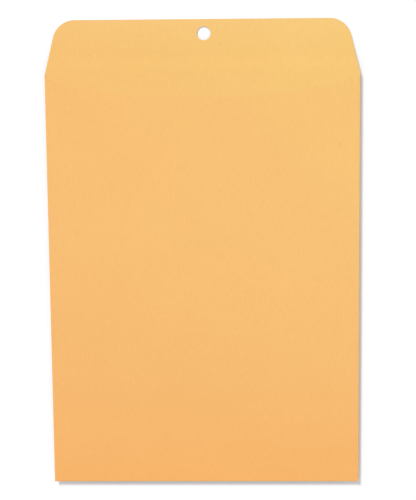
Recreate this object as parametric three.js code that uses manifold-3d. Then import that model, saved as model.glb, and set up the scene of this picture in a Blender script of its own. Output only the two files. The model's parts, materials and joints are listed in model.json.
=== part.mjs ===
import * as THREE from 'three';
import { mergeVertices } from 'three/addons/utils/BufferGeometryUtils.js';
import Module from 'manifold-3d';

const wasm = await Module();
wasm.setup();

// Driving dimensions, in millimetres. +Z points out of the address side, +Y towards the flap.

// Paper sheet
const paper = 0.15;
const body_width = 228.6;
const body_height = 304.8;

// Closure flap and its crease
const flap_height = 40;
const flap_side_inset_per_mm = 0.23;
const flap_corner_radius = 16;
const flap_rest_angle = THREE.MathUtils.degToRad(8);
const crease_half_width = 2;
const crease_steps = 6;
const crease_end_gap = 0.1;
const hole_diameter = 9.9;
const hole_from_crease = 29.7;

// The hole, the seam and the clasp share one line, a little right of the middle
const fastener_x = 1.4;

// Relaxed pocket: the front lies flat and the back bellies down to the table
const pocket_depth = 4.76;
const edge_depth = 0.5;
const belly_half_width = 66;
const belly_side_margin = 2.3;
const belly_bottom_start = 48;
const belly_bottom_ramp = 74;
const ramp_steps = 8;

// Back panels
const seam_overlap = 19;
const throat_depth = 15;
const throat_side_drop = 1.2;
const throat_power = 3.2;
const throat_steps = 16;
const panel_to_bottom_fold = 0.3;

// Bottom flap
const bottom_flap_height = 40;
const bottom_flap_side_inset = 2;
const bottom_flap_taper = 8;
const bottom_flap_corner_radius = 9;

// Adhesives
const glue_thickness = 0.03;
const seam_glue_margin = 1.5;
const bottom_glue_margin = 2;
const bottom_glue_from_fold = 6;
const gum_thickness = 0.05;
const gum_from_crease = 9;
const gum_edge_margin = 3;

// Reinforcing patch round the hole
const patch_width = 25;
const patch_height = 18;
const patch_corner_radius = 1.5;
const patch_gap = 0.5;

// Clasp, stamped from sheet metal
const metal = 0.3;
const clasp_plate_width = 22;
const clasp_plate_height = 11;
const clasp_plate_corner_radius = 2.5;
const clasp_standoff = 0.15;
const prong_length = 16;
const prong_root_width = 4.4;
const prong_width = 6.2;
const prong_pivot_from_middle = 1.2;
const prong_root_overhang = 0.1;
const neck_gap = 0.15;
const tooth_width = 2;
const tooth_from_middle = 7;
const tooth_clinch_length = 2.8;
const tooth_slot_gap = 0.2;

// Clearances
const layer_gap = 0.02;
const flap_closed_gap = 0.15;

// Levels above the table, from the prongs up through the paper layers to the address side
const prong_z = 0;
const plate_z = prong_z + metal + clasp_standoff;
const outer_panel_z = plate_z + metal + layer_gap;
const seam_gap = glue_thickness + 2 * layer_gap;
const inner_panel_z = outer_panel_z + paper + seam_gap;
const pocket_floor_z = inner_panel_z + paper;
const front_z = pocket_floor_z + pocket_depth;

// The back rises by belly_drop from its belly to the folded edges
const belly_drop = pocket_depth - edge_depth;
const bottom_flap_z = outer_panel_z + belly_drop - seam_gap - paper;

// The flap turns about a line halfway between its flat open plane and its closed plane
const patch_z = front_z - layer_gap - paper;
const flap_axis_z = (patch_z - flap_closed_gap) / 2;

// At rest the flap has sagged about that line, so its free edge lies near the table
const flap_rise = front_z + paper - flap_axis_z;
const flap_reach = flap_height * Math.cos(flap_rest_angle) + flap_rise * Math.sin(flap_rest_angle);

// Plan positions, with the origin under the middle of the whole length
const half_width = body_width / 2;
const whole_length = body_height + flap_reach;
const bottom_y = -whole_length / 2;
const crease_y = bottom_y + body_height;
const hole_y = crease_y + hole_from_crease;
const clasp_y = crease_y - hole_from_crease;
const hole_radius = hole_diameter / 2;

// Materials
const kraft = new THREE.MeshStandardMaterial({ color: 0xf8c078, roughness: 0.85, metalness: 0 });
const kraft_inside = new THREE.MeshStandardMaterial({ color: 0xf3b872, roughness: 0.88, metalness: 0 });
const patch_kraft = new THREE.MeshStandardMaterial({ color: 0xe8ac68, roughness: 0.9, metalness: 0 });
const glue = new THREE.MeshStandardMaterial({ color: 0xe6cfa0, roughness: 0.5, metalness: 0 });
const gum = new THREE.MeshStandardMaterial({ color: 0xe2b478, roughness: 0.3, metalness: 0 });
const tin = new THREE.MeshStandardMaterial({ color: 0xc4c6c8, roughness: 0.32, metalness: 0.9 });

// A closed geometry as a solid, for cutting and joining
function solidOf(geometry) {
  const bare = geometry.clone();
  bare.deleteAttribute('normal');
  bare.deleteAttribute('uv');
  const merged = mergeVertices(bare, 1e-5);
  return new wasm.Manifold(new wasm.Mesh({
    numProp: 3,
    vertProperties: new Float32Array(merged.attributes.position.array),
    triVerts: new Uint32Array(merged.index.array),
  }));
}

// A solid as a geometry
function geometryOf(solid) {
  const mesh = solid.getMesh();
  const geometry = new THREE.BufferGeometry();
  geometry.setAttribute('position', new THREE.BufferAttribute(mesh.vertProperties, 3));
  geometry.setIndex(new THREE.BufferAttribute(mesh.triVerts, 1));
  geometry.computeVertexNormals();
  return geometry;
}

// A block between two corners
function block(low, high) {
  const geometry = new THREE.BoxGeometry(high[0] - low[0], high[1] - low[1], high[2] - low[2]);
  geometry.translate((low[0] + high[0]) / 2, (low[1] + high[1]) / 2, (low[2] + high[2]) / 2);
  return geometry;
}

// A flat piece of one thickness cut to an outline
function flatPiece(outline, z, thickness) {
  const geometry = new THREE.ExtrudeGeometry(outline, {
    depth: thickness,
    bevelEnabled: false,
    curveSegments: 12,
  });
  geometry.translate(0, 0, z);
  return geometry;
}

// An outline through corner points, each rounded by its own radius
function roundedOutline(corners) {
  const shape = new THREE.Shape();
  corners.forEach(([x, y, radius], i) => {
    const before = corners[(i + corners.length - 1) % corners.length];
    const after = corners[(i + 1) % corners.length];
    const here = new THREE.Vector2(x, y);
    const back = new THREE.Vector2(before[0], before[1]).sub(here).normalize();
    const ahead = new THREE.Vector2(after[0], after[1]).sub(here).normalize();
    const half_angle = Math.acos(THREE.MathUtils.clamp(back.dot(ahead), -1, 1)) / 2;
    const reach = radius / Math.tan(half_angle);
    const enter = here.clone().addScaledVector(back, reach);
    const leave = here.clone().addScaledVector(ahead, reach);
    if (i === 0) {
      shape.moveTo(enter.x, enter.y);
    } else {
      shape.lineTo(enter.x, enter.y);
    }
    if (radius > 0) {
      const centre_distance = radius / Math.sin(half_angle);
      const centre = back.clone().add(ahead).normalize().multiplyScalar(centre_distance).add(here);
      const turns_left = back.x * ahead.y - back.y * ahead.x < 0;
      const start = Math.atan2(enter.y - centre.y, enter.x - centre.x);
      const end = Math.atan2(leave.y - centre.y, leave.x - centre.x);
      shape.absarc(centre.x, centre.y, radius, start, end, !turns_left);
    }
  });
  shape.closePath();
  return shape;
}

// A round hole for an outline
function roundHole(x, y, radius) {
  const hole = new THREE.Path();
  hole.absarc(x, y, radius, 0, 2 * Math.PI, true);
  return hole;
}

// Even steps from one value to another, both ends included
function steps(from, to, count) {
  return Array.from({ length: count + 1 }, (unused, i) => from + (to - from) * i / count);
}

// Smooth rise from 0 to 1
function smoothRise(t) {
  const s = THREE.MathUtils.clamp(t, 0, 1);
  return s * s * (3 - 2 * s);
}

// How far the back has come up from its belly, from 0 in the belly to belly_drop at the folds
function backRise(x, y) {
  const side_end = half_width - belly_side_margin;
  const across = smoothRise((side_end - Math.abs(x)) / (side_end - belly_half_width));
  const along = smoothRise((y - bottom_y - belly_bottom_start) / belly_bottom_ramp);
  return belly_drop * (1 - across * along);
}

// Mouth edge of the back panels, a shallow curve below the crease
function mouthY(x) {
  const share = Math.min(Math.abs(x) / half_width, 1) ** throat_power;
  return crease_y - throat_side_drop - (throat_depth - throat_side_drop) * (1 - share);
}

// A curved sheet between two grids of points of one size, closed all round
function closedSheet(low_grid, high_grid) {
  const across = low_grid.length;
  const along = low_grid[0].length;
  const positions = [low_grid, high_grid].flat(3);
  const low = (i, j) => i * along + j;
  const high = (i, j) => across * along + i * along + j;
  const faces = [];
  const quad = (a, b, c, d) => faces.push(a, b, c, a, c, d);
  for (let i = 0; i < across - 1; i += 1) {
    for (let j = 0; j < along - 1; j += 1) {
      quad(high(i, j), high(i + 1, j), high(i + 1, j + 1), high(i, j + 1));
      quad(low(i, j), low(i, j + 1), low(i + 1, j + 1), low(i + 1, j));
    }
    quad(low(i, 0), low(i + 1, 0), high(i + 1, 0), high(i, 0));
    quad(low(i + 1, along - 1), low(i, along - 1), high(i, along - 1), high(i + 1, along - 1));
  }
  for (let j = 0; j < along - 1; j += 1) {
    quad(low(0, j + 1), low(0, j), high(0, j), high(0, j + 1));
    quad(low(across - 1, j), low(across - 1, j + 1), high(across - 1, j + 1), high(across - 1, j));
  }
  const geometry = new THREE.BufferGeometry();
  geometry.setAttribute('position', new THREE.Float32BufferAttribute(positions, 3));
  geometry.setIndex(faces);
  return geometry;
}

// A sheet whose height varies over a grid of columns and rows
function bentSheet(columns, rowsAt, bottomAt, thickness) {
  const grid = (lift) => columns.map((x) => rowsAt(x).map((y) => [x, y, bottomAt(x, y) + lift]));
  return closedSheet(grid(0), grid(thickness));
}

// Rows of a back sheet from the bottom fold to its far edge, the same for every layer
function backRows(from, to) {
  const ramp_start = bottom_y + belly_bottom_start;
  return [from, ...steps(ramp_start, ramp_start + belly_bottom_ramp, ramp_steps), to];
}

// Columns of a back sheet from one side fold to its edge past the seam
function backColumns(side, reach) {
  const ramp = steps(side * half_width, side * belly_half_width, ramp_steps);
  const belly = steps(side * belly_half_width, fastener_x - side * reach, throat_steps);
  const columns = [...ramp, ...belly.slice(1)];
  return side < 0 ? columns : columns.reverse();
}

// Centres of the four teeth along X, and the side of the clasp they stand on along Y
function toothPlaces() {
  const places = [];
  for (const x_side of [-1, 1]) {
    for (const y_side of [-1, 1]) {
      places.push({ x: fastener_x + x_side * tooth_from_middle, y_side });
    }
  }
  return places;
}

// Slots that the clasp's teeth pierce in the back panels
function toothSlots() {
  const slots = toothPlaces().map(({ x, y_side }) => {
    const outer = clasp_y + y_side * (clasp_plate_height / 2 + tooth_slot_gap);
    const inner = clasp_y + y_side * (clasp_plate_height / 2 - metal - tooth_slot_gap);
    const half = tooth_width / 2 + tooth_slot_gap;
    return solidOf(block(
      [x - half, Math.min(outer, inner), plate_z],
      [x + half, Math.max(outer, inner), front_z],
    ));
  });
  return slots.reduce((all, slot) => all.add(slot));
}

// A back panel: a bellied sheet with its side fold, pierced by the clasp's teeth
function sidePanel(side, belly_z) {
  const from = bottom_y + paper + panel_to_bottom_fold;
  const sheet = solidOf(bentSheet(
    backColumns(side, seam_overlap / 2),
    (x) => backRows(from, mouthY(x)),
    (x, y) => belly_z + backRise(x, y),
    paper,
  ));
  const fold_x = [side * half_width, side * (half_width - paper)].sort((a, b) => a - b);
  const fold = solidOf(block(
    [fold_x[0], from, belly_z + belly_drop],
    [fold_x[1], mouthY(half_width), front_z - layer_gap],
  ));
  return geometryOf(sheet.add(fold).subtract(toothSlots()));
}

// Adhesive between the two back layers
function seamGlue() {
  const half = seam_overlap / 2 - seam_glue_margin;
  const from = bottom_y + paper + panel_to_bottom_fold;
  const sheet = solidOf(bentSheet(
    steps(fastener_x - half, fastener_x + half, throat_steps),
    (x) => backRows(from, mouthY(x) - seam_glue_margin),
    (x, y) => outer_panel_z + paper + layer_gap + backRise(x, y),
    glue_thickness,
  ));
  return geometryOf(sheet.subtract(toothSlots()));
}

// The address side, one flat layer up to the crease
function frontPanel() {
  return block(
    [-half_width, bottom_y, front_z],
    [half_width, crease_y - crease_half_width, front_z + paper],
  );
}

// Half width of the flap at a distance from the crease
function flapHalfWidth(from_crease) {
  return half_width - flap_side_inset_per_mm * from_crease;
}

// The strip of paper that bends when the flap turns, with the shoulders of the outline
function flapCrease() {
  const rows = [
    ...steps(-crease_half_width, 0, crease_steps / 2),
    ...steps(0, crease_half_width - crease_end_gap, crease_steps / 2).slice(1),
  ];
  const grid = (z) => [-1, 1].map((side) => rows.map((from_crease) => {
    const share = smoothRise((from_crease + crease_half_width) / (2 * crease_half_width));
    const bend = new THREE.Euler(-share * flap_rest_angle, 0, 0);
    const x = side * Math.min(half_width, flapHalfWidth(from_crease));
    const point = new THREE.Vector3(x, from_crease, z - flap_axis_z).applyEuler(bend);
    return [point.x, crease_y + point.y, flap_axis_z + point.z];
  }));
  return closedSheet(grid(front_z), grid(front_z + paper));
}

// Flap outline between two distances from the crease, drawn in by a margin
function flapOutline(from_crease, to_crease, margin) {
  const slant = Math.hypot(1, flap_side_inset_per_mm);
  const near_half = flapHalfWidth(from_crease) - margin * slant;
  const far_half = flapHalfWidth(to_crease) - margin * slant;
  const radius = Math.max(flap_corner_radius - margin, 1);
  return roundedOutline([
    [-near_half, crease_y + from_crease, 0],
    [near_half, crease_y + from_crease, 0],
    [far_half, crease_y + to_crease, radius],
    [-far_half, crease_y + to_crease, radius],
  ]);
}

// The closure flap with its clasp hole
function closureFlap() {
  const outline = flapOutline(crease_half_width, flap_height, 0);
  outline.holes.push(roundHole(fastener_x, hole_y, hole_radius));
  return flatPiece(outline, front_z, paper);
}

// Rectangle round the hole, with rounded corners
function patchOutline(grow) {
  const x = patch_width / 2 + grow;
  const y = patch_height / 2 + grow;
  const radius = patch_corner_radius + grow;
  return roundedOutline([
    [fastener_x - x, hole_y - y, radius],
    [fastener_x + x, hole_y - y, radius],
    [fastener_x + x, hole_y + y, radius],
    [fastener_x - x, hole_y + y, radius],
  ]);
}

// Kraft patch that stiffens the hole on the flap's inner face
function holePatch() {
  const outline = patchOutline(0);
  outline.holes.push(roundHole(fastener_x, hole_y, hole_radius));
  return flatPiece(outline, patch_z, paper);
}

// Gum film on the flap's inner face, left bare round the patch
function flapGum() {
  const z = front_z - layer_gap - gum_thickness;
  const outline = flapOutline(gum_from_crease, flap_height - gum_edge_margin, gum_edge_margin);
  const film = solidOf(flatPiece(outline, z, gum_thickness));
  const bare = solidOf(flatPiece(patchOutline(patch_gap), z - metal, gum_thickness + 2 * metal));
  return geometryOf(film.subtract(bare));
}

// Outline of the bottom flap between two heights above the bottom fold, drawn in by a margin
function bottomOutline(from, to, margin) {
  const near_half = half_width - bottom_flap_side_inset - margin;
  const far_half = near_half - bottom_flap_taper;
  const radius = bottom_flap_corner_radius - margin;
  return roundedOutline([
    [-near_half, bottom_y + from, 0],
    [near_half, bottom_y + from, 0],
    [far_half, bottom_y + to, radius],
    [-far_half, bottom_y + to, radius],
  ]);
}

// The bottom flap with the bottom fold, turned up over the back panels
function bottomFlap() {
  const leaf = solidOf(flatPiece(bottomOutline(0, bottom_flap_height, 0), bottom_flap_z, paper));
  const fold_half = half_width - bottom_flap_side_inset;
  const fold = solidOf(block(
    [-fold_half, bottom_y, bottom_flap_z],
    [fold_half, bottom_y + paper, front_z - layer_gap],
  ));
  return geometryOf(leaf.add(fold));
}

// Adhesive between the bottom flap and the back panels
function bottomFlapGlue() {
  const to = bottom_flap_height - bottom_glue_margin;
  const outline = bottomOutline(bottom_glue_from_fold, to, bottom_glue_margin);
  return flatPiece(outline, bottom_flap_z + paper + layer_gap, glue_thickness);
}

// One tooth: a leg through the paper and its clinched end lying on the inner layer
function clinchedTooth({ x, y_side }) {
  const half = tooth_width / 2;
  const outer = clasp_y + y_side * clasp_plate_height / 2;
  const leg_inner = outer - y_side * metal;
  const tip = outer - y_side * tooth_clinch_length;
  const clinch_z = pocket_floor_z + layer_gap;
  const leg = solidOf(block(
    [x - half, Math.min(outer, leg_inner), plate_z],
    [x + half, Math.max(outer, leg_inner), clinch_z + metal],
  ));
  const clinch = solidOf(block(
    [x - half, Math.min(outer, tip), clinch_z],
    [x + half, Math.max(outer, tip), clinch_z + metal],
  ));
  return leg.add(clinch);
}

// The clasp's plate with its teeth and the neck that carries the prongs
function claspBase() {
  const x = clasp_plate_width / 2;
  const y = clasp_plate_height / 2;
  const plate = solidOf(flatPiece(roundedOutline([
    [fastener_x - x, clasp_y - y, clasp_plate_corner_radius],
    [fastener_x + x, clasp_y - y, clasp_plate_corner_radius],
    [fastener_x + x, clasp_y + y, clasp_plate_corner_radius],
    [fastener_x - x, clasp_y + y, clasp_plate_corner_radius],
  ]), plate_z, metal));
  const neck_half = prong_pivot_from_middle - metal / 2 - neck_gap;
  const neck = solidOf(block(
    [fastener_x - neck_half, clasp_y - prong_root_width / 2, prong_z],
    [fastener_x + neck_half, clasp_y + prong_root_width / 2, plate_z + metal],
  ));
  const teeth = toothPlaces().map(clinchedTooth);
  return geometryOf(teeth.reduce((all, tooth) => all.add(tooth), plate.add(neck)));
}

// A prong: a tongue that widens from its root to a round end
function claspProng(side) {
  const pivot_x = fastener_x + side * prong_pivot_from_middle;
  const root_x = pivot_x - side * prong_root_overhang;
  const end_radius = prong_width / 2;
  const end_x = pivot_x + side * (prong_length - end_radius);
  const tongue = new THREE.Shape();
  tongue.moveTo(root_x, clasp_y - side * prong_root_width / 2);
  tongue.lineTo(end_x, clasp_y - side * end_radius);
  tongue.absarc(end_x, clasp_y, end_radius, -side * Math.PI / 2, side * Math.PI / 2, false);
  tongue.lineTo(root_x, clasp_y + side * prong_root_width / 2);
  tongue.closePath();
  return flatPiece(tongue, prong_z, metal);
}

// A group at a pivot, for pieces that turn together
function pivotGroup(x, y, z) {
  const group = new THREE.Group();
  group.position.set(x, y, z);
  return group;
}

// Adds one named piece to a group, with its shape given in the envelope's own frame
function addPiece(group, name, geometry, material) {
  const piece = new THREE.Mesh(geometry, material);
  piece.name = name;
  piece.position.copy(group.position).negate();
  group.add(piece);
}

// The fixed pocket with its clasp plate
const pocket = new THREE.Group();
addPiece(pocket, 'front_panel', frontPanel(), kraft);
addPiece(pocket, 'left_side_panel', sidePanel(-1, inner_panel_z), kraft_inside);
addPiece(pocket, 'right_side_panel', sidePanel(1, outer_panel_z), kraft_inside);
addPiece(pocket, 'centre_seam_glue', seamGlue(), glue);
addPiece(pocket, 'bottom_flap', bottomFlap(), kraft);
addPiece(pocket, 'bottom_flap_glue', bottomFlapGlue(), glue);
addPiece(pocket, 'flap_crease', flapCrease(), kraft);
addPiece(pocket, 'clasp_base', claspBase(), tin);

// The flap, which turns about the crease
const flap = pivotGroup(0, crease_y, flap_axis_z);
flap.rotation.x = -flap_rest_angle;
addPiece(flap, 'closure_flap', closureFlap(), kraft);
addPiece(flap, 'flap_gum', flapGum(), gum);
addPiece(flap, 'flap_hole_patch', holePatch(), patch_kraft);

// The two prongs, which bend at their roots
const prong_left = pivotGroup(fastener_x - prong_pivot_from_middle, clasp_y, prong_z + metal / 2);
addPiece(prong_left, 'clasp_prong_left', claspProng(-1), tin);
const prong_right = pivotGroup(fastener_x + prong_pivot_from_middle, clasp_y, prong_z + metal / 2);
addPiece(prong_right, 'clasp_prong_right', claspProng(1), tin);

const envelope = new THREE.Group();
envelope.add(pocket, flap, prong_left, prong_right);

export default envelope;
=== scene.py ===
import json
import math
import bpy
from mathutils import Matrix, Vector, noise


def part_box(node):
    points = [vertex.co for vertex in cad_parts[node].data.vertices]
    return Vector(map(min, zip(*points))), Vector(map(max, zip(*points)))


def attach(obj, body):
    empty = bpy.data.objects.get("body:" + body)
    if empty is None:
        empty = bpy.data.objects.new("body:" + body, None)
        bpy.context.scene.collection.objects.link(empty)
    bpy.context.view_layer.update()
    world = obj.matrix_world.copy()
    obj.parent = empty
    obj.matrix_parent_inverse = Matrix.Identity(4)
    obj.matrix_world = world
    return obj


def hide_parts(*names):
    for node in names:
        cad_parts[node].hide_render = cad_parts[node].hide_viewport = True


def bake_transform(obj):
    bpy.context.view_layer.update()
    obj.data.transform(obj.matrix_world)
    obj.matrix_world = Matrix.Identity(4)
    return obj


# Clasp envelope of golden kraft paper, address side up, with its flap open

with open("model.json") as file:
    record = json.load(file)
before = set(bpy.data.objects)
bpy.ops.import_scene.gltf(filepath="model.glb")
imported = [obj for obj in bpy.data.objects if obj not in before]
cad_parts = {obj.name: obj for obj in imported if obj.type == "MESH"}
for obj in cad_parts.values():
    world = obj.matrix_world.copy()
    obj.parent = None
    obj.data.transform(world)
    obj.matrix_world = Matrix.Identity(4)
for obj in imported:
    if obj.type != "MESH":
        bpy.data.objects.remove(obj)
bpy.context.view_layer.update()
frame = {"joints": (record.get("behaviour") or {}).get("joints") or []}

# Sizes in metres, read from the frame where it has them
MM = 0.001
front_low, front_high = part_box("front_panel")
bottom_low, bottom_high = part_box("bottom_flap")
clasp_low, clasp_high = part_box("clasp_base")
flap_joint = next(joint for joint in frame["joints"] if joint["name"] == "flap_fold")

BODY_HALF = front_high.x
BOTTOM_Y = front_low.y
PAPER = front_high.z - front_low.z
HALF_PAPER = PAPER / 2
FRONT_MID = (front_high.z + front_low.z) / 2
PIVOT = Vector(flap_joint["pos_m"])
CREASE_Y = PIVOT.y
CREASE_HALF = CREASE_Y - front_high.y
FASTENER_X = (clasp_low.x + clasp_high.x) / 2
CLASP_Y = (clasp_low.y + clasp_high.y) / 2
HOLE_Y = CREASE_Y + (CREASE_Y - CLASP_Y)

# Flap
FLAP_HEIGHT = 40 * MM
FLAP_INSET = 0.23
FLAP_CORNER = 16 * MM
FLAP_REST_ANGLE = math.radians(8)
FLAP_SETTLE = 0.62 * MM
SETTLE_STEEPNESS = 3
HOLE_RADIUS = 9.9 / 2 * MM
HOLE_SIDES = 72

# Back panels
LEFT_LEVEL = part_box("left_side_panel")[0].z
RIGHT_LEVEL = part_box("right_side_panel")[0].z
BELLY_DROP = 4.26 * MM
BELLY_HALF = 66 * MM
BELLY_SIDE_MARGIN = 2.3 * MM
BELLY_START = 48 * MM
BELLY_RAMP = 74 * MM
THROAT_DEPTH = 15 * MM
THROAT_SIDE_DROP = 1.2 * MM
THROAT_POWER = 3.2
SEAM_HALF = 9.5 * MM
PANEL_TO_FOLD = 0.45 * MM

# Bottom flap
BOTTOM_FLAP_HEIGHT = bottom_high.y - bottom_low.y
BOTTOM_FLAP_HALF = bottom_high.x
BOTTOM_FLAP_TAPER = 0.2
BOTTOM_FLAP_CORNER = 9 * MM

# Adhesives, gum and patch
SEAM_GLUE_THICKNESS = 0.03 * MM
SEAM_GLUE_WANDER = 0.4 * MM
BAND_CORNER = 7 * MM
BAND_SIDE_MARGIN = 1 * MM
GUM_FROM_CREASE = 9 * MM
GUM_END_MARGIN = 3 * MM
GUM_SIDE_MARGIN = 3.1 * MM
GUM_WANDER = 0.35 * MM
GUM_THICKNESS = 0.05 * MM
GUM_STAND_OFF = 0.045 * MM
PATCH_WIDTH = 25 * MM
PATCH_HEIGHT = 18 * MM
PATCH_CORNER = 1.5 * MM
PATCH_GAP = 0.02 * MM
BARE_ROUND_PATCH = 0.5 * MM
CUTTER_DEPTH = 2 * MM

# Unevenness of the paper, with ripples in waves per metre each way and a number for the pattern
FRONT_WAVE = 0.22 * MM
FRONT_WAVE_MARGIN = 35 * MM
FRONT_BROAD_RIPPLE = (13, 11, 3.7)
FRONT_FINE_RIPPLE = (34, 29, 8.1)
FINE_SHARE = 0.4
BACK_WAVE = 0.12 * MM
BACK_RIPPLE = (17, 15, 1.3)
BACK_RIPPLE_LIFT = 0.6
SEAM_GLUE_RIPPLE = (20, 150, 0)
GUM_RIPPLE = (40, 300, 5)
CALM_WIDTH = 30 * MM
CALM_HEIGHT = 22 * MM
SCORE_DEPTH = 0.006 * MM
SCORE_WIDTH = 0.45 * MM

# How finely the sheets are divided
FRONT_COLUMNS = 64
BODY_ROWS = 84
FOOT_ROW = 2 * MM
CREASE_ROWS = 24
FLAP_ROW = 2 * MM
CORNER_ROWS = 14
OUTLINE_STEP = 0.05 * MM
FOLD_ROWS = 18
FOLD_EDGE_ROW = 0.02 * MM
AFTER_SIDE_FOLD = 1 * MM
AFTER_BOTTOM_FOLD = 2 * MM
PANEL_COLUMNS = 52
PANEL_ROWS = 110
BOTTOM_COLUMNS = 60
BOTTOM_ROW = 2.5 * MM
SEAM_GLUE_COLUMNS = 8
BAND_COLUMNS = 40
GUM_COLUMNS = 120
GUM_ROW = 1.2 * MM
PATCH_COLUMNS = 24
PATCH_ROWS = 18

# Metal clasp
METAL = 0.3 * MM
PLATE_SIZE = (22 * MM, 11 * MM)
PLATE_CORNER = 2.5 * MM
PRONG_TO_PLATE = 0.6 * MM
PLATE_MID = clasp_low.z + PRONG_TO_PLATE
STAMP_SIZE = (19.6 * MM, 8.6 * MM)
STAMP_CORNER = 1.4 * MM
STAMP_DEPTH = 0.08 * MM
TOOTH_TOP = clasp_high.z
TOOTH_WIDTH = 2 * MM
TOOTH_FROM_MIDDLE = 7 * MM
TOOTH_LENGTH = 2.8 * MM
TOOTH_TIP = (0.55, 1, 0.5)
PRONG_PIVOT = 1.2 * MM
PRONG_LENGTH = 16 * MM
PRONG_ROOT_HALF = 2.2 * MM
PRONG_END_HALF = 3.1 * MM
PRONG_ROOT_OVERLAP = 0.1 * MM
PRONG_SIDES = 96
NECK_GAP = 0.15 * MM
NECK_CORNER = 0.3 * MM
NECK_ABOVE_PRONG = 0.02 * MM
BEAD_ALONG_PRONG = 0.52
BEAD_HALF_SIZE = (6.6 * MM, 1.2 * MM, 0.4 * MM)
BEAD_RELIEF = 0.1 * MM
EDGE_ROUNDING = 0.05 * MM
JOIN_GAP = 0.002 * MM
# Blender's own tolerance for a cutting plane is a third of the metal's thickness
PLANE_TOLERANCE = 0.0001 * MM

# Edges sharper than these angles are rounded or kept crisp
ROUNDED_ANGLE = math.radians(40)
CRISP_ANGLE = math.radians(30)
# How squarely a face has to look a way to be picked for it
SQUARELY = 0.9

# Tone of the sheet from the flap's free edge to the foot, as places from 0 to 1 and screen
# colours: the paper's colour with painted light that deepens it towards the foot
FRONT_TONES = [
    # Painted shade: up to the crease the flap is painted deeper, to cancel the extra light that
    # its tilt catches
    (0.0, (244, 197, 120)),
    (0.07, (240, 191, 112)),
    (0.112, (240, 191, 112)),
    (0.1205, (247, 196, 116)),
    (0.45, (247, 194, 116)),
    (0.75, (246, 189, 112)),
    (1.0, (246, 182, 103)),
]
BACK_TONES = [(0.0, (247, 195, 120)), (1.0, (246, 184, 109))]
PATCH_TONES = [(0.0, (236, 180, 108)), (1.0, (232, 174, 102))]
TONE_LENGTH = 345 * MM
# Painted light: green rises by so much per metre to the right at the foot, and by so much more at
# the flap's edge
GREEN_LEAN_FOOT = 0.1
GREEN_LEAN_RISE = 0.28
BLUE_LEAN_SHARE = 0.7
# Painted shade for the deeper show-through where the back panels lie under the front sheet, and
# the blend at its edge
LAYERED_SHADE = (1.0, 0.968, 0.995, 1)
LAYERED_EDGE = (-0.8 * MM, 1.2 * MM)
WHITE = (1, 1, 1, 1)

# Pattern of the paper, with the scale, stretch, turn and detail of each run of fibres
PAPER_FIBRES = [(900.0, 0.22, 0.25, 3.0), (1300.0, 0.18, -0.45, 3.0), (700.0, 0.2, 1.35, 3.0)]
FLECK_FIBRES = (420.0, 0.35, 0.8, 1.0)
FLECK_RANGE = (0.745, 0.80)
FLECK_STRENGTH = 0.28
FIBRE_CONTRAST = 0.24
CLOUD_CONTRAST = 0.055
BROAD_CONTRAST = 0.05
CLOUD_IN_TOOTH = 0.5
# A darker place loses less of its red and more of its blue
RED_POWER = 0.5
BLUE_POWER = 1.6

# Screen colours of the finishes
FLECK = (206, 142, 82)
GUM_DEEP = (222, 165, 90)
GUM_PALE = (238, 187, 112)
ADHESIVE_DEEP = (222, 186, 128)
ADHESIVE_PALE = (240, 212, 160)
TIN_BRIGHT = (212, 213, 214)
TIN_SPOT = (192, 191, 190)
GUM_STREAK_HEIGHT = 1.5

# Camera, as fitted to the four edges of the body in the photograph
IMAGE_HEIGHT = 500
FOCAL_PIXELS = 1692
CAMERA_TURN = [math.radians(a) for a in (9.494, -1.909, 0.2715)]
MIDDLE_FROM_CAMERA = Vector((-2.838, -23.896, -1248.33)) * MM
CAMERA_NEAR = 0.05
CAMERA_FAR = 50

# Light
SKY_LEVEL = 0.5
SUN_LEVEL = 0.665
SUN_LEAN_RIGHT = 0.38
SUN_LEAN_DOWN = 0.8
SUN_SOFTNESS = math.radians(14)
FLOOR_SIZE = 12
FLOOR_COLOUR = (0.88, 0.9, 0.935, 1)
FLOOR_LIFT = 0.15
FLOOR_GAP = 0.02 * MM


# Steps, curves and colours

def smooth_rise(t):
    """Smooth rise from 0 to 1."""
    s = min(max(t, 0), 1)
    return s * s * (3 - 2 * s)


def even(start, end, count):
    """Even steps from start to end, both included."""
    return [start + (end - start) * i / count for i in range(count + 1)]


def ripple(x, y, waves):
    """Height of a ripple at a place, about -1 to 1."""
    across, along, pattern = waves
    return noise.noise(Vector((x * across, y * along, pattern)))


def linear(r, g, b):
    """A screen colour, 0 to 255, as the linear colour that a shader takes."""
    def channel(c):
        c /= 255
        return c / 12.92 if c <= 0.04045 else ((c + 0.055) / 1.055) ** 2.4
    return (channel(r), channel(g), channel(b), 1)


# Selecting, editing and finishing

def deselect():
    """Leaves nothing selected."""
    if bpy.context.object and bpy.context.object.mode != "OBJECT":
        bpy.ops.object.mode_set(mode="OBJECT")
    bpy.ops.object.select_all(action="DESELECT")


def pick(piece):
    """Makes one piece the only selected one."""
    deselect()
    bpy.context.view_layer.objects.active = piece
    piece.select_set(True)


def edit(piece):
    """Opens a piece for editing, with all of it selected."""
    pick(piece)
    bpy.ops.object.mode_set(mode="EDIT")
    bpy.ops.mesh.select_all(action="SELECT")


def edit_only(piece, kind, wanted):
    """Opens a piece for editing, with only the edges or faces selected that are wanted."""
    edit(piece)
    bpy.ops.mesh.select_mode(type=kind)
    bpy.ops.mesh.select_all(action="DESELECT")
    close()
    for part in piece.data.edges if kind == "EDGE" else piece.data.polygons:
        part.select = wanted(part)
    bpy.ops.object.mode_set(mode="EDIT")


def close():
    """Ends the editing of a piece."""
    bpy.ops.object.mode_set(mode="OBJECT")


def flip_faces(piece):
    """Turns a sheet's faces to its other side."""
    edit(piece)
    bpy.ops.mesh.flip_normals()
    close()


def merge_close(piece, distance):
    """Merges vertices that a join has left almost on top of each other."""
    edit(piece)
    bpy.ops.mesh.remove_doubles(threshold=distance)
    close()


def slice_off(piece, place, facing):
    """Removes what lies behind a plane and closes the cut."""
    edit(piece)
    bpy.ops.mesh.bisect(
        plane_co=place, plane_no=facing, use_fill=True, clear_inner=True,
        threshold=PLANE_TOLERANCE)
    close()


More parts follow.
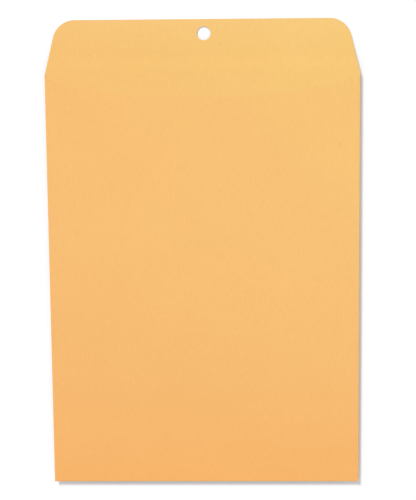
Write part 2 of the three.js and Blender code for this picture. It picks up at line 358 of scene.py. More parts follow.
def draw_out(move, scale, centre):
    """Extrudes the selected faces by a move and scales their end about a centre."""
    bpy.ops.mesh.extrude_region_move(TRANSFORM_OT_translate={"value": move})
    bpy.ops.transform.resize(value=scale, center_override=centre)
    close()


def apply_modifiers(piece):
    """Applies every modifier of a piece in order."""
    pick(piece)
    for modifier in list(piece.modifiers):
        bpy.ops.object.modifier_apply(modifier=modifier.name)


def thicken(piece, thickness):
    """Gives a sheet its thickness, half to each side."""
    wall = piece.modifiers.new("wall", "SOLIDIFY")
    wall.thickness = thickness
    wall.offset = 0
    wall.use_even_offset = True
    apply_modifiers(piece)


def soften_edges(piece):
    """Rounds the sharp edges of a metal piece, before a join or a press leaves them ragged."""
    bevel = piece.modifiers.new("edges", "BEVEL")
    bevel.width = EDGE_ROUNDING
    bevel.segments = 2
    bevel.limit_method = "ANGLE"
    bevel.angle_limit = ROUNDED_ANGLE
    apply_modifiers(piece)


def cut(piece, cutter, operation="DIFFERENCE"):
    """Cuts, joins or crosses a piece with another solid, which is then removed."""
    boolean = piece.modifiers.new("cut", "BOOLEAN")
    boolean.operation = operation
    boolean.solver = "EXACT"
    boolean.object = cutter
    apply_modifiers(piece)
    bpy.data.objects.remove(cutter)


def shade(piece):
    """Smooth shading, with the sharp edges kept crisp."""
    pick(piece)
    bpy.ops.object.shade_smooth_by_angle(angle=CRISP_ANGLE)


def shade_metal(piece):
    """Smooth shading that leaves the flat faces flat."""
    shade(piece)
    weights = piece.modifiers.new("flat faces first", "WEIGHTED_NORMAL")
    weights.keep_sharp = True
    apply_modifiers(piece)


def finish(piece, body, material, slot, *nodes):
    """Gives a piece its material, hides the frame's parts for the nodes it stands for and puts it
    on the body it rides on.
    """
    piece.data.materials.clear()
    piece.data.materials.append(material)
    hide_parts(*nodes)
    if body:
        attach(piece, body)


# Plain solids to shape, join or cut with

def settle():
    """Takes the place and size of the new primitive into its mesh."""
    bpy.ops.object.transform_apply(location=True, rotation=False, scale=True)
    return bpy.context.object


def block(centre, size):
    """A plain block."""
    deselect()
    bpy.ops.mesh.primitive_cube_add(size=1, location=centre, scale=size)
    return settle()


def rounded_block(size, corner, centre):
    """A block with its four upright edges rounded."""
    made = block(centre, size)
    vertices = made.data.vertices

    def upright(edge):
        a, b = (vertices[i].co for i in edge.vertices)
        return abs(a.x - b.x) + abs(a.y - b.y) < PLANE_TOLERANCE

    edit_only(made, "EDGE", upright)
    bpy.ops.mesh.bevel(offset=corner, segments=8, affect="EDGES")
    close()
    return made


def disc(centre, radius, depth, sides):
    """An upright cylinder."""
    deselect()
    bpy.ops.mesh.primitive_cylinder_add(
        vertices=sides, radius=radius, depth=depth, location=centre)
    return settle()


def bead_form(centre):
    """The long lens shape that a stiffening bead is pressed to."""
    deselect()
    bpy.ops.mesh.primitive_uv_sphere_add(
        segments=48, ring_count=24, radius=1, location=centre, scale=BEAD_HALF_SIZE)
    return settle()


# Sheets of paper, each laid out flat, marked with its flat place and then folded

def flat_sheet(name, columns, rows):
    """A grid with a vertex for each column and row."""
    deselect()
    across = len(columns) - 1
    along = len(rows) - 1
    bpy.ops.mesh.primitive_grid_add(x_subdivisions=across, y_subdivisions=along, size=2)
    piece = bpy.context.object
    piece.name = name
    for vertex in piece.data.vertices:
        column = round((vertex.co.x + 1) / 2 * across)
        row = round((vertex.co.y + 1) / 2 * along)
        vertex.co = (columns[column], rows[row], 0)
    return piece


def reshape(piece, place):
    """Moves every vertex to where place says, from where it is."""
    for vertex in piece.data.vertices:
        vertex.co = place(vertex.co.copy())
    piece.data.update()


def mark_flat_place(piece, flat=lambda point: point):
    """Writes each vertex's place on the flat sheet to the map "sheet", in metres."""
    layer = piece.data.uv_layers.active
    layer.name = "sheet"
    places = [flat(vertex.co).xy for vertex in piece.data.vertices]
    for loop in piece.data.loops:
        layer.data[loop.index].uv = places[loop.vertex_index]


def rounded_end_rows(start, end, inset, radius, spacing):
    """Rows of a flap from its root to its free edge, closer together in the rounded corners."""
    slant = math.hypot(1, inset)
    turn_start = end - radius + radius * inset / slant
    straight = even(start, turn_start, max(2, round((turn_start - start) / spacing)))
    first = math.asin(inset / slant)
    turn = [end - radius + radius * math.sin(a) for a in even(first, math.pi / 2, CORNER_ROWS)]
    return straight + turn[1:]


def tapered_half(reach, root_half, end, inset, radius):
    """Half width of a tapered flap with rounded corners, at a distance from its root."""
    slant = math.hypot(1, inset)
    centre_reach = end - radius
    if reach <= centre_reach + radius * inset / slant:
        return root_half - inset * max(reach, 0)
    centre_x = root_half - inset * centre_reach - radius * slant
    return centre_x + math.sqrt(max(radius ** 2 - (reach - centre_reach) ** 2, 0))


def flap_half(reach):
    """Half width of the closure flap, at a distance from the crease."""
    return tapered_half(reach, BODY_HALF, FLAP_HEIGHT, FLAP_INSET, FLAP_CORNER)


def mouth_y(x):
    """Mouth edge of the back panels, a shallow curve below the crease."""
    share = min(abs(x) / BODY_HALF, 1) ** THROAT_POWER
    return CREASE_Y - THROAT_SIDE_DROP - (THROAT_DEPTH - THROAT_SIDE_DROP) * (1 - share)


def near_fastener(x, y, centre_y):
    """1 at the clasp or at the hole, falling away round it."""
    across = (x - FASTENER_X) / CALM_WIDTH
    along = (y - centre_y) / CALM_HEIGHT
    return math.exp(-across ** 2 - along ** 2)


def front_unevenness(x, y):
    """Height that the front and the flap stand off flat, nothing at the folded edges."""
    side = smooth_rise((BODY_HALF - abs(x)) / FRONT_WAVE_MARGIN)
    foot = smooth_rise((y - BOTTOM_Y) / FRONT_WAVE_MARGIN)
    calm = 1 - near_fastener(x, y, HOLE_Y)
    wave = ripple(x, y, FRONT_BROAD_RIPPLE) + FINE_SHARE * ripple(x, y, FRONT_FINE_RIPPLE)
    score = SCORE_DEPTH * math.exp(-((y - CREASE_Y) / SCORE_WIDTH) ** 2)
    out = max(0, (y - CREASE_Y) / FLAP_HEIGHT)
    settled = FLAP_SETTLE * 4 * out * (1 - out) * smooth_rise(out * SETTLE_STEEPNESS)
    return FRONT_WAVE * wave * side * foot * calm - score - settled


def back_rise(x, y):
    """How far the back has come up from its belly towards the folded edges."""
    side_end = BODY_HALF - BELLY_SIDE_MARGIN
    across = smooth_rise((side_end - abs(x)) / (side_end - BELLY_HALF))
    along = smooth_rise((y - BOTTOM_Y - BELLY_START) / BELLY_RAMP)
    wave = ripple(x, y, BACK_RIPPLE) * (1 - near_fastener(x, y, CLASP_Y))
    lift = BACK_WAVE * (wave + BACK_RIPPLE_LIFT) * across * along
    return BELLY_DROP * (1 - across * along) + lift


def sag_flap(point):
    """Turns a point of the flat-open flap to its place at rest, bending through the crease."""
    reach = point.y - CREASE_Y
    through = min(max((reach + CREASE_HALF) / (2 * CREASE_HALF), 0), 1)
    share = smooth_rise(through)
    turn = Matrix.Rotation(-share * FLAP_REST_ANGLE, 3, "X")
    turned = PIVOT + turn @ (point - PIVOT)
    if 0 < through < 1:
        # Without this the turned strip would stand up in a low ridge instead of bending evenly
        bent = 2 * CREASE_HALF * (through ** 3 - through ** 4 / 2)
        turned.z += FLAP_REST_ANGLE * (reach * share - bent)
    return turned


def on_flap(piece, below):
    """Lays a flat piece a distance below the flap's inner face and turns it to rest with it."""
    height = front_low.z - below

    def laid(point):
        z = point.z + height + front_unevenness(point.x, point.y)
        return sag_flap(Vector((point.x, point.y, z)))

    reshape(piece, laid)


def fold_radius(back_mid):
    """Radius of a folded edge to the middle of the paper, from the front down to a back layer."""
    return (FRONT_MID - back_mid) / 2


def fold_rows(turn):
    """Rows round a fold of a length, with a narrow one at the cut edge where it starts."""
    return [0, *even(FOLD_EDGE_ROW, turn, FOLD_ROWS)]


def round_fold(length, radius):
    """How far out and how high a point lies on a fold, at a length along it from the front."""
    angle = length / radius
    return radius * math.sin(angle), FRONT_MID - radius + radius * math.cos(angle)


LEFT_FOLD = fold_radius(LEFT_LEVEL + BELLY_DROP + HALF_PAPER)
RIGHT_FOLD = fold_radius(RIGHT_LEVEL + BELLY_DROP + HALF_PAPER)
BOTTOM_FOLD = fold_radius(bottom_low.z + HALF_PAPER)
FOOT_Y = BOTTOM_Y + BOTTOM_FOLD + HALF_PAPER
MOUTH_SIDE_Y = mouth_y(BODY_HALF)


# Pieces of paper, glue and gum

def punch_hole(piece, z):
    """Punches the clasp hole through a sheet."""
    cut(piece, disc((FASTENER_X, HOLE_Y, z), HOLE_RADIUS, CUTTER_DEPTH, HOLE_SIDES))


def front_sheet_rows():
    """Rows from the foot to the flap's free edge, fine at the crease, with one at the mouth."""
    body = [BOTTOM_Y, *even(BOTTOM_Y + FOOT_ROW, MOUTH_SIDE_Y - OUTLINE_STEP, BODY_ROWS)]
    crease = [CREASE_Y + t for t in even(-CREASE_HALF, CREASE_HALF, CREASE_ROWS)]
    below = [y for y in crease if body[-2] < y < MOUTH_SIDE_Y - 2 * OUTLINE_STEP]
    above = [y for y in crease if y > MOUTH_SIDE_Y + OUTLINE_STEP]
    flap = rounded_end_rows(CREASE_HALF, FLAP_HEIGHT, FLAP_INSET, FLAP_CORNER, FLAP_ROW)
    return sorted(body + below) + [MOUTH_SIDE_Y] + above + [CREASE_Y + t for t in flap[1:]]


def make_front_sheet(material):
    """The address side, the crease and the flap: one sheet with the clasp hole punched in it."""
    left_edge = -BODY_HALF + LEFT_FOLD + HALF_PAPER
    right_edge = BODY_HALF - RIGHT_FOLD - HALF_PAPER
    fold_half = BOTTOM_FLAP_HALF
    columns = [
        left_edge, -fold_half - OUTLINE_STEP, *even(-fold_half, fold_half, FRONT_COLUMNS),
        fold_half + OUTLINE_STEP, right_edge]
    sheet = flat_sheet("front_and_flap_sheet", columns, front_sheet_rows())

    def to_outline(point):
        x, y = point.x, point.y
        if y > MOUTH_SIDE_Y - OUTLINE_STEP / 2:
            share = (x - left_edge) / (right_edge - left_edge)
            x = flap_half(y - CREASE_Y) * (2 * share - 1)
        elif y < BOTTOM_Y + OUTLINE_STEP and abs(x) <= fold_half + OUTLINE_STEP / 2:
            y = FOOT_Y
        return Vector((x, y, FRONT_MID))

    reshape(sheet, to_outline)
    mark_flat_place(sheet)
    thicken(sheet, PAPER)
    punch_hole(sheet, FRONT_MID)
    reshape(sheet, lambda p: sag_flap(p + Vector((0, 0, front_unevenness(p.x, p.y)))))
    shade(sheet)
    finish(sheet, None, material, "kraft_paper", "front_panel", "flap_crease", "closure_flap")
    end = sag_flap(Vector((0, CREASE_Y + CREASE_HALF, FRONT_MID)))
    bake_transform(sheet)


def make_side_panel(name, side, level, radius, material, node):
    """A back layer with its rounded side fold, from the front's edge round to past the seam."""
    turn = math.pi * radius
    inner_start = BODY_HALF - radius - HALF_PAPER
    reach = inner_start - side * (FASTENER_X - side * SEAM_HALF)
    across = even(turn + AFTER_SIDE_FOLD, turn + reach, PANEL_COLUMNS)
    columns = [side * s for s in (*fold_rows(turn), *across)]
    panel = flat_sheet(name, columns, even(0, 1, PANEL_ROWS))

    def plan(point):
        """Distance past the fold and place seen from above, of a point of the grid."""
        beyond = abs(point.x) - turn
        x = side * (inner_start - beyond) if beyond > 0 else side * BODY_HALF
        low = BOTTOM_Y + (PANEL_TO_FOLD if beyond > AFTER_SIDE_FOLD / 2 else 0)
        return beyond, x, low + point.y * (mouth_y(x) - low)

    def flat(point):
        beyond, _, y = plan(point)
        return Vector((side * (inner_start + 2 * turn) - side * (beyond + turn), y, 0))

    def folded(point):
        beyond, x, y = plan(point)
        if beyond > 0:
            return Vector((x, y, level + back_rise(x, y) + HALF_PAPER))
        out, z = round_fold(abs(point.x), radius)
        return Vector((side * (inner_start + out), y, z))

    mark_flat_place(panel, flat)
    reshape(panel, folded)
    if side < 0:
        flip_faces(panel)
    thicken(panel, PAPER)
    shade(panel)
    finish(panel, "pocket", material, "kraft_paper", node)


def make_bottom_flap(material):
    """The bottom flap, turned up round the bottom fold and glued over the back."""
    turn = math.pi * BOTTOM_FOLD
    height = BOTTOM_FLAP_HEIGHT - BOTTOM_FOLD - HALF_PAPER
    rows = rounded_end_rows(
        AFTER_BOTTOM_FOLD, height, BOTTOM_FLAP_TAPER, BOTTOM_FLAP_CORNER, BOTTOM_ROW)
    along = [*fold_rows(turn), *[turn + t for t in rows]]
    piece = flat_sheet("bottom_flap_sheet", even(-1, 1, BOTTOM_COLUMNS), along)

    def flat(point):
        half = tapered_half(
            point.y - turn, BOTTOM_FLAP_HALF, height, BOTTOM_FLAP_TAPER, BOTTOM_FLAP_CORNER)
        return Vector((point.x * half, FOOT_Y - point.y, 0))

    def folded(point):
        length = FOOT_Y - point.y
        if length > turn:
            return Vector((point.x, FOOT_Y + length - turn, FRONT_MID - 2 * BOTTOM_FOLD))
        out, z = round_fold(length, BOTTOM_FOLD)
        return Vector((point.x, FOOT_Y - out, z))

    reshape(piece, flat)
    mark_flat_place(piece)
    reshape(piece, folded)
    thicken(piece, PAPER)
    shade(piece)
    finish(piece, "pocket", material, "kraft_paper", "bottom_flap")


def make_seam_glue(material):
    """The line of adhesive between the two back layers."""
    low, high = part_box("centre_seam_glue")
    level = (RIGHT_LEVEL + PAPER + LEFT_LEVEL) / 2
    columns = even(low.x, high.x, SEAM_GLUE_COLUMNS)
    piece = flat_sheet("seam_adhesive_line", columns, even(low.y, high.y, PANEL_ROWS))

    def laid(point):
        x, y = point.x, point.y
        wander = SEAM_GLUE_WANDER * ripple(x, y, SEAM_GLUE_RIPPLE)
        return Vector((x + wander, y, level + back_rise(x, y)))

    reshape(piece, laid)
    mark_flat_place(piece)
    thicken(piece, SEAM_GLUE_THICKNESS)
    shade(piece)
    finish(piece, "pocket", material, "seam_adhesive", "centre_seam_glue")


def make_bottom_glue(material):
    """The band of adhesive under the bottom flap."""
    low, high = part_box("bottom_flap_glue")
    height = high.y - low.y
    rows = rounded_end_rows(0, height, BOTTOM_FLAP_TAPER, BAND_CORNER, BOTTOM_ROW)
    piece = flat_sheet("bottom_adhesive_band", even(-1, 1, BAND_COLUMNS), rows)

    def laid(point):
        root_half = high.x - BAND_SIDE_MARGIN
        half = tapered_half(point.y, root_half, height, BOTTOM_FLAP_TAPER, BAND_CORNER)
        return Vector((point.x * half, low.y + point.y, (low.z + high.z) / 2))

    reshape(piece, laid)
    mark_flat_place(piece)
    thicken(piece, high.z - low.z)
    shade(piece)
    finish(piece, "pocket", material, "seam_adhesive", "bottom_flap_glue")


def make_gum(material):
    """The film of gum on the flap's inner face, left bare round the patch."""
    height = FLAP_HEIGHT - GUM_END_MARGIN - GUM_FROM_CREASE
    root_half = BODY_HALF - FLAP_INSET * GUM_FROM_CREASE - GUM_SIDE_MARGIN
    corner = FLAP_CORNER - GUM_END_MARGIN
    rows = rounded_end_rows(0, height, FLAP_INSET, corner, GUM_ROW)
    piece = flat_sheet("flap_gum_film", even(-1, 1, GUM_COLUMNS), rows)

    def spread(point):
        half = tapered_half(point.y, root_half, height, FLAP_INSET, corner)
        wander = GUM_WANDER * ripple(point.x, point.y, GUM_RIPPLE)
        y = CREASE_Y + GUM_FROM_CREASE + point.y + wander
        return Vector((point.x * half + wander, y, 0))

    reshape(piece, spread)
    mark_flat_place(piece)
    thicken(piece, GUM_THICKNESS)
    bare = BARE_ROUND_PATCH
    bare_size = (PATCH_WIDTH + 2 * bare, PATCH_HEIGHT + 2 * bare, CUTTER_DEPTH)
    cut(piece, rounded_block(bare_size, PATCH_CORNER + bare, (FASTENER_X, HOLE_Y, 0)))
    on_flap(piece, GUM_STAND_OFF)
    shade(piece)
    finish(piece, "flap", material, "flap_gum", "flap_gum")


def make_patch(material):
    """The kraft patch that stiffens the hole, with the same hole punched through it."""
    centre = Vector((FASTENER_X, HOLE_Y, 0))
    columns = even(-PATCH_WIDTH / 2, PATCH_WIDTH / 2, PATCH_COLUMNS)
    rows = even(-PATCH_HEIGHT / 2, PATCH_HEIGHT / 2, PATCH_ROWS)
    piece = flat_sheet("hole_patch", columns, rows)
    reshape(piece, lambda p: p + centre)
    mark_flat_place(piece)
    thicken(piece, PAPER)
    outline = rounded_block((PATCH_WIDTH, PATCH_HEIGHT, CUTTER_DEPTH), PATCH_CORNER, centre)
    cut(piece, outline, "INTERSECT")
    punch_hole(piece, 0)
    on_flap(piece, PATCH_GAP + HALF_PAPER)
    shade(piece)
    finish(piece, "flap", material, "patch_paper", "flap_hole_patch")


# Pieces of the metal clasp

def make_tooth(x_side, y_side):
    """One tooth: a leg through the paper, bent over and clinched on the inner layer."""
    x = FASTENER_X + x_side * TOOTH_FROM_MIDDLE
    y = CLASP_Y + y_side * (clasp_high.y - CLASP_Y - METAL / 2)
    bend_z = TOOTH_TOP - METAL
    reach = TOOTH_LENGTH - METAL
    tooth = block(
        (x, y, (PLATE_MID + TOOTH_TOP) / 2), (TOOTH_WIDTH, METAL, TOOTH_TOP - PLATE_MID))
    edit(tooth)
    bpy.ops.mesh.bisect(plane_co=(0, 0, bend_z), plane_no=(0, 0, 1), threshold=PLANE_TOLERANCE)

    def inner_top(face):
        return face.normal.y * y_side < -SQUARELY and face.center.z > bend_z

    edit_only(tooth, "FACE", inner_top)
    draw_out((0, -y_side * reach, 0), TOOTH_TIP, (x, y - y_side * reach, bend_z))
    soften_edges(tooth)
    return tooth


def make_clasp_base(material):
    """The stamped plate with its four clinched teeth and the neck that the prongs grow from."""
    plate = rounded_block((*PLATE_SIZE, METAL), PLATE_CORNER, (FASTENER_X, CLASP_Y, PLATE_MID))
    soften_edges(plate)
    under_z = PLATE_MID - METAL / 2
    cut(plate, rounded_block(
        (*STAMP_SIZE, 2 * STAMP_DEPTH), STAMP_CORNER, (FASTENER_X, CLASP_Y, under_z)))
    neck_half = PRONG_PIVOT - METAL / 2 - NECK_GAP
    neck_low = clasp_low.z + NECK_ABOVE_PRONG
    neck = rounded_block(
        (2 * neck_half, 2 * PRONG_ROOT_HALF, PLATE_MID - neck_low), NECK_CORNER,
        (FASTENER_X, CLASP_Y, (PLATE_MID + neck_low) / 2))
    cut(plate, neck, "UNION")
    for x_side in (-1, 1):
        for y_side in (-1, 1):
            cut(plate, make_tooth(x_side, y_side), "UNION")
    merge_close(plate, JOIN_GAP)
    plate.name = "clasp_plate"
    shade_metal(plate)
    finish(plate, "pocket", material, "tinned_steel", "clasp_base")


def make_prong(name, side, body, material, node):
    """A prong: a tongue that widens to a round end, with a stiffening bead pressed along it."""
    root_x = FASTENER_X + side * (PRONG_PIVOT - PRONG_ROOT_OVERLAP)
    end_x = FASTENER_X + side * (PRONG_PIVOT + PRONG_LENGTH - PRONG_END_HALF)
    bead_x = FASTENER_X + side * (PRONG_PIVOT + PRONG_LENGTH * BEAD_ALONG_PRONG)
    prong = disc((end_x, CLASP_Y, METAL / 2), PRONG_END_HALF, METAL, PRONG_SIDES)
    slice_off(prong, (end_x, 0, 0), (side, 0, 0))
    edit_only(prong, "FACE", lambda face: face.normal.x * side < -SQUARELY)
    draw_out(
        (root_x - end_x, 0, 0), (1, PRONG_ROOT_HALF / PRONG_END_HALF, 1),
        (root_x, CLASP_Y, METAL / 2))
    soften_edges(prong)
    stand_off = BEAD_HALF_SIZE[2] - BEAD_RELIEF
    ridge = bead_form((bead_x, CLASP_Y, METAL - stand_off))
    slice_off(ridge, (0, 0, METAL / 2), (0, 0, 1))
    cut(prong, ridge, "UNION")
    cut(prong, bead_form((bead_x, CLASP_Y, -stand_off)))
    prong.name = name
    shade_metal(prong)
    finish(prong, body, material, "tinned_steel", node)


# Materials

class Shader:
    """A material's nodes, added and linked with few words."""

    def __init__(self, name):
        self.material = bpy.data.materials.new(name)
        self.material.use_nodes = True
        self.tree = self.material.node_tree
        self.surface = self.tree.nodes["Principled BSDF"]

    def fill(self, node, inputs):
        """Gives each of a node's inputs a value, or links another node's socket to it."""
        for key, value in inputs.items():
            if isinstance(value, bpy.types.NodeSocket):
                self.tree.links.new(value, node.inputs[key])
            else:
                node.inputs[key].default_value = value

    def node(self, kind, inputs=None, **settings):
        """A new node of a kind, with its settings and inputs."""
        made = self.tree.nodes.new("ShaderNode" + kind)
        for key, value in settings.items():
            setattr(made, key, value)
        self.fill(made, inputs or {})
        return made

    def math(self, operation, *values, clamp=False):
        """The result of a sum on values and sockets."""
        made = self.node("Math", dict(enumerate(values)), operation=operation, use_clamp=clamp)
        return made.outputs[0]

    def scaled(self, value, amount, base, clamp=False):
        """A value times an amount, on top of a base."""
        return self.math("MULTIPLY_ADD", value, amount, base, clamp=clamp)

    def swing(self, base, pattern, amount, clamp=False):
        """A base moved up and down by a pattern that lies round 0.5."""
        return self.scaled(self.math("SUBTRACT", pattern, 0.5), amount, base, clamp)

    def mix(self, share, one, two):
        """A colour between two."""
        return self.node("Mix", {0: share, 6: one, 7: two}, data_type="RGBA").outputs[2]

    def product(self, one, two):
        """Two colours multiplied, channel by channel."""
        return self.node("VectorMath", {0: one, 1: two}, operation="MULTIPLY").outputs[0]

    def tones(self, value, stops):
        """A colour read along a run of stops, each a place from 0 to 1 and a colour."""
        made = self.node("ValToRGB", {0: value})
        elements = made.color_ramp.elements
        elements.remove(elements[1])
        elements[0].position, elements[0].color = stops[0]
        for place, colour in stops[1:]:
            elements.new(place).color = colour
        return made.outputs[0]

    def ramp(self, value, low, high):
        """A value mapped from low..high to 0..1, with its ends held."""
        return self.node("MapRange", {0: value, 1: low, 2: high, 3: 0.0, 4: 1.0}).outputs[0]

    def sheet_place(self):
        """The place of a point on its flat sheet."""
        return self.node("UVMap", uv_map="sheet").outputs[0]

    def clouds(self, place, scale, detail, roughness=0.5):
        """Noise that has no direction."""
        made = self.node("TexNoise", {
            "Vector": place, "Scale": scale, "Detail": detail, "Roughness": roughness})
        return made.outputs[0]

    def fibres(self, place, scale, stretch, turn, detail):
        """Noise drawn out one way, as fibres lie in paper or rolling lines in metal."""
        laid = self.node("Mapping", {
            "Vector": place, "Rotation": (0, 0, turn), "Scale": (1, stretch, 1)})
        return self.clouds(laid.outputs[0], scale, detail, 0.6)

    def relief(self, height, strength, distance):
        """Fine relief of the surface, for its normal."""
        made = self.node("Bump", {"Height": height, "Strength": strength, "Distance": distance})
        return made.outputs[0]


def tone_with_painted_light(paper, x, y, tones):
    """Base colour of the sheet with painted light: deeper towards the foot and a little yellower
    to the right.
    """
    down = paper.math("DIVIDE", paper.math("SUBTRACT", TONE_LENGTH / 2, y), TONE_LENGTH)
    tone = paper.tones(down, [(place, linear(*colour)) for place, colour in tones])
    steep = paper.scaled(down, -GREEN_LEAN_RISE, GREEN_LEAN_FOOT + GREEN_LEAN_RISE)
    green = paper.math("MULTIPLY", x, steep)
    lean = paper.node("CombineXYZ", {
        0: 1.0,
        1: paper.math("ADD", green, 1.0),
        2: paper.scaled(green, BLUE_LEAN_SHARE, 1.0),
    })
    return paper.product(tone, lean.outputs[0])


def layer_below(paper, x, y, tone):
    """Paints shade where the back panels lie under the sheet, up to their curved mouth, for the
    deeper show-through of two layers.
    """
    out = paper.math("DIVIDE", paper.math("ABSOLUTE", x), BODY_HALF)
    curve = paper.math("POWER", out, THROAT_POWER)
    mouth = paper.scaled(curve, THROAT_DEPTH - THROAT_SIDE_DROP, CREASE_Y - THROAT_DEPTH)
    above = paper.ramp(paper.math("SUBTRACT", y, mouth), *LAYERED_EDGE)
    return paper.product(tone, paper.mix(above, LAYERED_SHADE, WHITE))


def paper_material(name, tones, layered):
    """Kraft paper: fibres, cloudy formation and small flecks, with a faint tooth."""
    paper = Shader(name)
    place = paper.sheet_place()
    parts = paper.node("SeparateXYZ", {0: place})
    x, y = parts.outputs[0], parts.outputs[1]
    tone = tone_with_painted_light(paper, x, y, tones)
    # Painted show-through shade over the back panels
    if layered:
        tone = layer_below(paper, x, y, tone)
    cloud = paper.clouds(place, scale=190.0, detail=4.0, roughness=0.6)
    broad = paper.clouds(place, scale=22.0, detail=2.0)
    weave = paper.fibres(place, *PAPER_FIBRES[0])
    for run in PAPER_FIBRES[1:]:
        weave = paper.math("ADD", weave, paper.fibres(place, *run))
    weave = paper.math("DIVIDE", weave, len(PAPER_FIBRES))
    level = paper.swing(1.0, weave, FIBRE_CONTRAST)
    level = paper.swing(level, cloud, CLOUD_CONTRAST)
    level = paper.swing(level, broad, BROAD_CONTRAST)
    uneven = paper.node("CombineXYZ", {
        0: paper.math("POWER", level, RED_POWER),
        1: level,
        2: paper.math("POWER", level, BLUE_POWER),
    })
    worked = paper.product(tone, uneven.outputs[0])
    fleck = paper.ramp(paper.fibres(place, *FLECK_FIBRES), *FLECK_RANGE)
    fleck = paper.math("MULTIPLY", fleck, FLECK_STRENGTH)
    tooth = paper.math("ADD", weave, paper.math("MULTIPLY", cloud, CLOUD_IN_TOOTH))
    paper.fill(paper.surface, {
        "Base Color": paper.mix(fleck, worked, linear(*FLECK)),
        "Roughness": paper.scaled(weave, amount=0.2, base=0.68),
        "Specular IOR Level": 0.3,
        "Normal": paper.relief(tooth, strength=0.35, distance=0.06 * MM),
    })
    return paper.material


def gum_material():
    """Dry gum: a thin glassy film with streaks from the roller and fine crazing."""
    gum = Shader("dry gum film")
    place = gum.sheet_place()
    streaks = gum.fibres(place, scale=160.0, stretch=6.0, turn=0.0, detail=3.0)
    cells = gum.node(
        "TexVoronoi", {"Vector": place, "Scale": 900.0}, feature="DISTANCE_TO_EDGE")
    mottle = gum.clouds(place, scale=320.0, detail=4.0)
    share = gum.swing(mottle, streaks, amount=0.9, clamp=True)
    crazing = gum.ramp(cells.outputs[0], low=0.0, high=0.05)
    height = gum.math("ADD", crazing, gum.math("MULTIPLY", streaks, GUM_STREAK_HEIGHT))
    gum.fill(gum.surface, {
        "Base Color": gum.mix(share, linear(*GUM_DEEP), linear(*GUM_PALE)),
        "Roughness": gum.scaled(mottle, amount=0.3, base=0.14),
        "Coat Weight": 0.2,
        "Coat Roughness": 0.1,
        "Normal": gum.relief(height, strength=0.3, distance=0.03 * MM),
    })
    return gum.material


def adhesive_material():
    """Dried seam adhesive: pale amber, satin, with small bubbles."""
    glue = Shader("dried adhesive")
    place = glue.sheet_place()
    bubbles = glue.node("TexVoronoi", {"Vector": place, "Scale": 700.0}).outputs["Distance"]
    mottle = glue.clouds(place, scale=260.0, detail=3.0)
    glue.fill(glue.surface, {
        "Base Color": glue.mix(mottle, linear(*ADHESIVE_DEEP), linear(*ADHESIVE_PALE)),
        "Roughness": glue.scaled(mottle, amount=0.3, base=0.3),
        "Normal": glue.relief(bubbles, strength=0.3, distance=0.02 * MM),
    })
    return glue.material


def tin_material():
    """Tinned sheet steel: bright, with rolling lines, soft scuffs and a few darker spots."""
    tin = Shader("tinned sheet steel")
    place = tin.node("TexCoord").outputs["Object"]
    rolled = tin.fibres(place, scale=2600.0, stretch=0.06, turn=0.0, detail=3.0)
    scuffs = tin.fibres(place, scale=900.0, stretch=0.3, turn=0.7, detail=3.0)
    spots = tin.ramp(tin.clouds(place, scale=650.0, detail=6.0), low=0.5, high=0.85)
    rough = tin.scaled(rolled, amount=0.2, base=0.1)
    tin.fill(tin.surface, {
        "Base Color": tin.mix(spots, linear(*TIN_BRIGHT), linear(*TIN_SPOT)),
        "Metallic": 1.0,
        "Roughness": tin.scaled(scuffs, 0.18, rough),
        "Normal": tin.relief(
            tin.math("ADD", rolled, scuffs), strength=0.25, distance=0.01 * MM),
    })
    return tin.material


# Studio

class WorldShader(Shader):
    """The world's nodes, handled as a material's are."""

    def __init__(self, world):
        world.use_nodes = True
        self.tree = world.node_tree
        self.surface = self.tree.nodes["World Output"]


def seen_directly(shader):
    """1 for rays from the camera, in reflections and through glass, 0 for the rest."""
    path = shader.node("LightPath")
    both = shader.math("MAXIMUM", path.outputs["Is Camera Ray"], path.outputs["Is Glossy Ray"])
    return shader.math("MAXIMUM", both, path.outputs["Is Transmission Ray"])


def make_world():
    """An even sky that lights softly and is plain white where it is seen."""
    world = bpy.data.worlds.new("studio sky")
    bpy.context.scene.world = world
    sky = WorldShader(world)
    light = sky.node("Background", {"Color": WHITE, "Strength": SKY_LEVEL})
    white = sky.node("Background", {"Color": WHITE, "Strength": 1.0})
    both = sky.node("MixShader", {
        0: seen_directly(sky), 1: light.outputs[0], 2: white.outputs[0]})
    sky.fill(sky.surface, {"Surface": both.outputs[0]})


def make_floor():
    """A plain pale table top that keeps the envelope's shadow."""
    deselect()
    bpy.ops.mesh.primitive_plane_add(size=FLOOR_SIZE, location=(0, 0, -FLOOR_GAP))
    floor = bpy.context.object
    floor.name = "table_top"
    matt = Shader("pale table top")
    matt.tree.nodes.remove(matt.surface)
    diffuse = matt.node("BsdfDiffuse", {"Color": FLOOR_COLOUR})
    lift = matt.node("Emission", {
        "Strength": matt.math("MULTIPLY", seen_directly(matt), FLOOR_LIFT)})
    both = matt.node("AddShader", {0: diffuse.outputs[0], 1: lift.outputs[0]})
    matt.fill(matt.tree.nodes["Material Output"], {"Surface": both.outputs[0]})
    floor.data.materials.append(matt.material)


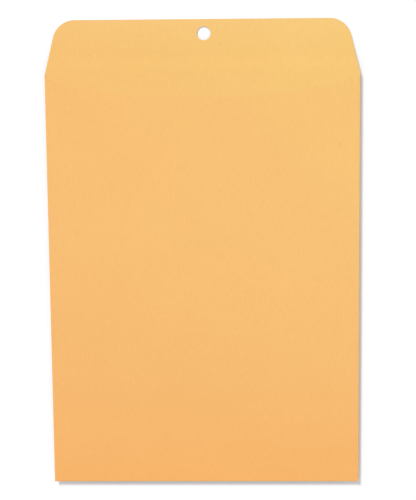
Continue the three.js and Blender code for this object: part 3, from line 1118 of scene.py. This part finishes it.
def make_sun():
    """One soft key light from the upper left of the picture."""
    light = bpy.data.lights.new("key light", "SUN")
    light.energy = SUN_LEVEL * math.pi
    light.angle = SUN_SOFTNESS
    sun = bpy.data.objects.new("key light", light)
    bpy.context.scene.collection.objects.link(sun)
    heading = Vector((SUN_LEAN_RIGHT, -SUN_LEAN_DOWN, -1))
    sun.rotation_euler = heading.to_track_quat("-Z", "Y").to_euler()
    sun.location = -heading


def make_camera():
    """The camera that the photograph was taken from."""
    data = bpy.data.cameras.new("camera")
    data.sensor_width = 36
    data.lens = FOCAL_PIXELS * data.sensor_width / IMAGE_HEIGHT
    data.clip_start = CAMERA_NEAR
    data.clip_end = CAMERA_FAR
    camera = bpy.data.objects.new("camera", data)
    bpy.context.scene.collection.objects.link(camera)
    turn = [Matrix.Rotation(angle, 3, axis) for angle, axis in zip(CAMERA_TURN, "XYZ")]
    to_world = (turn[2] @ turn[1] @ turn[0]).transposed()
    middle = Vector((0, (BOTTOM_Y + CREASE_Y) / 2, front_high.z))
    place = middle - to_world @ MIDDLE_FROM_CAMERA
    camera.matrix_world = Matrix.Translation(place) @ to_world.to_4x4()
    bpy.context.scene.camera = camera


def make_envelope():
    """Every piece of the envelope, with its finish."""
    kraft = paper_material("golden kraft paper", FRONT_TONES, True)
    kraft_back = paper_material("golden kraft paper, back", BACK_TONES, False)
    patch = paper_material("kraft patch", PATCH_TONES, False)
    adhesive = adhesive_material()
    tin = tin_material()
    make_front_sheet(kraft)
    make_side_panel(
        "left_back_panel", -1, LEFT_LEVEL, LEFT_FOLD, kraft_back, "left_side_panel")
    make_side_panel(
        "right_back_panel", 1, RIGHT_LEVEL, RIGHT_FOLD, kraft_back, "right_side_panel")
    make_bottom_flap(kraft_back)
    make_seam_glue(adhesive)
    make_bottom_glue(adhesive)
    make_gum(gum_material())
    make_patch(patch)
    make_clasp_base(tin)
    make_prong("clasp_left_prong", -1, "prong_left", tin, "clasp_prong_left")
    make_prong("clasp_right_prong", 1, "prong_right", tin, "clasp_prong_right")


bpy.context.scene.view_settings.view_transform = "Standard"
make_camera()
make_world()
make_floor()
make_sun()
make_envelope()
